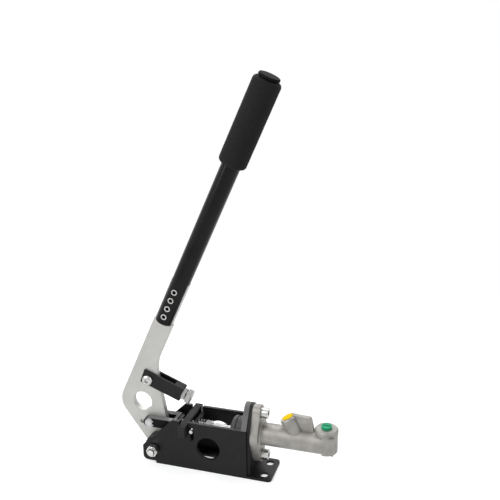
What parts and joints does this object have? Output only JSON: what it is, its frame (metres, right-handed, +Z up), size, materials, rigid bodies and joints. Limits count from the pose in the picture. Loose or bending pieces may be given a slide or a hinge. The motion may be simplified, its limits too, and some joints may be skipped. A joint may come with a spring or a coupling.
{
  "type": "hydraulic parking brake lever",
  "caption": "Upright hydraulic parking brake lever with foam grip on a black steel bracket, pushing a cast master cylinder through a clevis rod.",
  "frame": {"origin": "centre of the four base holes, on the underside of the base plate", "axes": "+X towards the master cylinder, +Y to the far side of the lever in the picture, +Z up; the floor is Z = 0"},
  "size_m": [0.2789, 0.0656, 0.4828],
  "materials": {
    "bracket_black": "satin black powder coat on bent and welded plate",
    "front_grey": "satin dark grey painted plate, cut edge paler",
    "guide_nylon": "dull black moulded nylon",
    "bar_dark": "dark grey painted steel bar",
    "zinc_steel": "bright zinc plated steel",
    "spring_steel": "drawn spring steel",
    "cast_body": "fine cast, satin warm grey",
    "piston_alloy": "turned aluminium",
    "yellow_plug": "soft yellow moulded plug",
    "green_plug": "soft green moulded plug",
    "rubber_dark": "dark grey moulded rubber",
    "lever_alloy": "bead blasted aluminium plate",
    "bush_bronze": "sintered bronze bush",
    "tube_black": "half gloss black anodised tube",
    "grip_foam": "matt porous foam rubber",
    "plug_gloss": "glossy black plastic"
  },
  "bodies": {
    "base": {"base_plate": "bracket_black", "left_side_plate": "bracket_black", "right_side_plate": "bracket_black", "front_plate": "front_grey", "flange_spacer": "bracket_black", "cross_bar": "bar_dark", "pivot_bolt": "zinc_steel", "pivot_nut": "zinc_steel", "pivot_washers": "bracket_black", "pivot_spacers": "bracket_black", "cylinder_body": "cast_body", "inlet_plug": "yellow_plug", "outlet_plug": "green_plug", "flange_bolts": "zinc_steel", "flange_washers": "zinc_steel", "dust_boot": "rubber_dark", "stop_washer": "spring_steel", "circlip": "spring_steel", "return_spring": "spring_steel"},
    "lever": {"lever_plate": "lever_alloy", "pivot_bush": "bush_bronze", "handle_tube": "tube_black", "grip": "grip_foam", "end_plug": "plug_gloss", "tube_screws": "zinc_steel", "stop_arm": "bracket_black", "arm_bolt": "zinc_steel", "arm_nut": "zinc_steel", "stop_screw": "zinc_steel", "stop_screw_nut": "zinc_steel", "clevis_pin": "zinc_steel", "pin_clips": "spring_steel"},
    "link": {"clevis": "bracket_black", "pushrod": "zinc_steel", "pushrod_nut": "zinc_steel", "pushrod_spring": "spring_steel"},
    "guide": {"rod_guide": "guide_nylon", "guide_pin": "zinc_steel"},
    "piston": {"piston": "piston_alloy", "primary_cup": "rubber_dark", "secondary_seal": "rubber_dark"}
  },
  "joints": [
    {"name": "lever_pivot", "type": "hinge", "parent": "base", "child": "lever", "pos_m": [-0.081, 0, 0.0205], "axis": [0, 1, 0], "range_deg": [0, 20], "stiffness_Nm_per_rad": 3.5, "springref_deg": -28.65, "deforming": ["pushrod_spring"]},
    {"name": "clevis_pivot", "type": "hinge", "parent": "lever", "child": "link", "pos_m": [-0.0905, 0, 0.0497], "axis": [0, 1, 0], "range_deg": [-20, 1]},
    {"name": "piston_slide", "type": "slide", "parent": "base", "child": "piston", "axis": [1, 0, 0], "range_m": [0, 0.011], "deforming": ["return_spring"]},
    {"name": "guide_float", "type": "slide", "parent": "base", "child": "guide", "axis": [0, 0, 1], "range_m": [0, 0.001]}
  ],
  "couplings": [
    {"joint": "clevis_pivot", "follows": "lever_pivot", "ratio": -0.96},
    {"joint": "piston_slide", "follows": "lever_pivot", "m_per_rad": 0.0303},
    {"joint": "guide_float", "follows": "lever_pivot", "m_per_rad": 0.002435}
  ]
}
